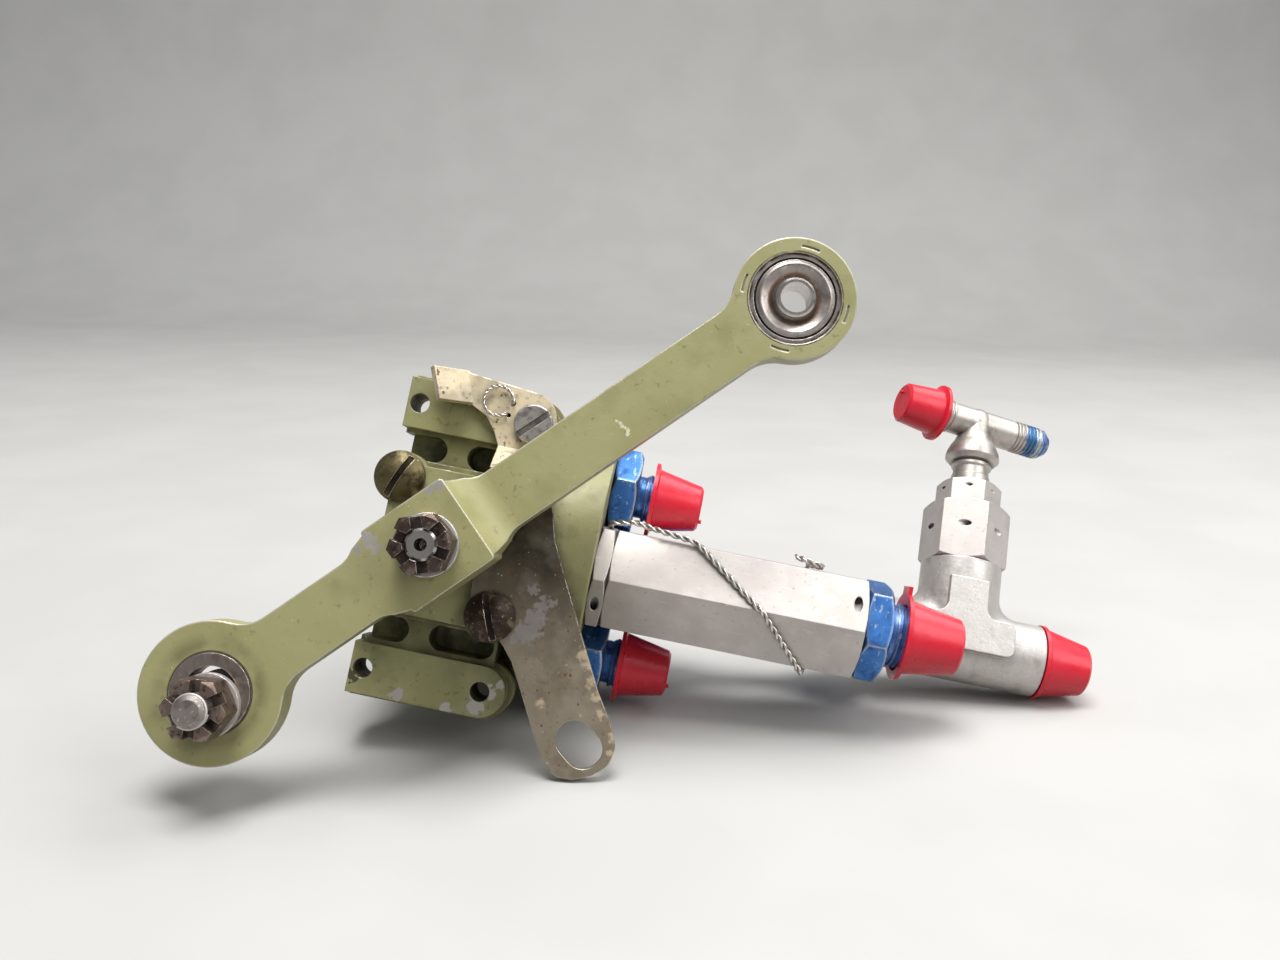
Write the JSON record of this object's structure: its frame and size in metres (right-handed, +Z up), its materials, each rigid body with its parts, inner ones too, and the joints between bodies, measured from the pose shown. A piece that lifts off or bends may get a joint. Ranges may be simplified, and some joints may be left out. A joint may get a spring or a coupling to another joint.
{
  "type": "landing gear control valve",
  "caption": "Rotary hydraulic control valve worked by a two-armed lever, with an in-line valve, flared-tube fittings, a leaning tee branch and red shipping caps.",
  "frame": {"origin": "where the lever shaft's axis meets the flat back of the body", "axes": "+X along the ports towards the fittings, +Y out of the back face, -Y the lever side, +Z up"},
  "size_m": [0.2057, 0.1014, 0.1281],
  "materials": {
    "green_casting": "matt yellow-green primer on a light alloy casting",
    "green_forging": "matt yellow-green primer on a forged light alloy lever, chipped",
    "plated_steel": "dull cadmium-plated steel",
    "bright_steel": "ground stainless steel",
    "tarnished_steel": "cadmium plate tarnished purple-brown",
    "bracket_plate": "old plated sheet steel, tan above and grey-green below",
    "blue_anodise": "blue anodised light alloy, worn to silver on the edges",
    "grey_alloy": "machined light alloy",
    "forged_alloy": "bead-blasted light alloy forging",
    "red_plastic": "soft red moulded polythene",
    "black_rubber": "nitrile",
    "seal_plastic": "filled fluoroplastic",
    "bronze": "plain bearing bronze"
  },
  "bodies": {
    "valve": {"adapter": "plated_steel", "bracket": "bracket_plate", "check_spring": "bright_steel", "cover_screws": "tarnished_steel", "cover_seal": "black_rubber", "ear_nut": "plated_steel", "ear_screw": "plated_steel", "front_cover": "green_casting", "gauge_tee": "grey_alloy", "lockwire": "bright_steel", "lower_union": "blue_anodise", "outlet_ring": "black_rubber", "outlet_union": "blue_anodise", "port_rings": "black_rubber", "port_seals": "seal_plastic", "return_tube": "grey_alloy", "return_union": "blue_anodise", "seal_springs": "bright_steel", "tee": "forged_alloy", "thrust_washer": "bronze", "tube_nuts": "blue_anodise", "tube_sleeves": "grey_alloy", "upper_union": "blue_anodise", "valve_barrel": "plated_steel", "valve_body": "green_casting", "valve_jam_nut": "plated_steel", "wire_loop": "bright_steel"},
    "lever_group": {"lever": "green_forging", "lever_bushing": "bronze", "bearing_race": "tarnished_steel", "control_shaft": "bright_steel", "stop_pin": "bright_steel", "shaft_seal": "black_rubber", "shaft_washer": "plated_steel", "shaft_nut": "tarnished_steel", "rotor": "bright_steel"},
    "bearing_ball": {"bearing_ball": "bright_steel"},
    "link": {"link_bolt": "plated_steel", "link_washers": "plated_steel", "link_nut": "tarnished_steel"},
    "poppet": {"check_poppet": "bright_steel"},
    "upper_cap": {"upper_cap": "red_plastic"},
    "lower_cap": {"lower_cap": "red_plastic"},
    "outlet_cap": {"outlet_cap": "red_plastic"},
    "run_cap": {"run_cap": "red_plastic"},
    "gauge_cap": {"gauge_cap": "red_plastic"}
  },
  "joints": [
    {"name": "lever_swing", "type": "hinge", "parent": "valve", "child": "lever_group", "pos_m": [0, 0, 0], "axis": [0, 1, 0], "range_deg": [-30, 30]},
    {"name": "bearing_turn", "type": "hinge", "parent": "lever_group", "child": "bearing_ball", "pos_m": [0.06217, -0.0716, 0.06438], "axis": [0, 1, 0], "continuous": true},
    {"name": "link_turn", "type": "hinge", "parent": "lever_group", "child": "link", "pos_m": [-0.03501, -0.079, -0.03879], "axis": [0, 1, 0], "continuous": true},
    {"name": "poppet_lift", "type": "slide", "parent": "valve", "child": "poppet", "axis": [1, 0, 0], "range_m": [0, 0.0035], "stiffness_N_per_m": 400, "springref_m": -0.002, "deforming": ["check_spring"]},
    {"name": "upper_cap_pull", "type": "slide", "parent": "valve", "child": "upper_cap", "axis": [1, 0, 0], "range_m": [0, 0.036]},
    {"name": "lower_cap_pull", "type": "slide", "parent": "valve", "child": "lower_cap", "axis": [1, 0, 0], "range_m": [0, 0.036]},
    {"name": "outlet_cap_pull", "type": "slide", "parent": "valve", "child": "outlet_cap", "axis": [1, 0, 0], "range_m": [0, 0.06]},
    {"name": "run_cap_pull", "type": "slide", "parent": "valve", "child": "run_cap", "axis": [1, 0, 0], "range_m": [0, 0.06]},
    {"name": "gauge_cap_pull", "type": "slide", "parent": "valve", "child": "gauge_cap", "axis": [-0.9744, -0.2162, 0.062], "range_m": [0, 0.04]}
  ]
}
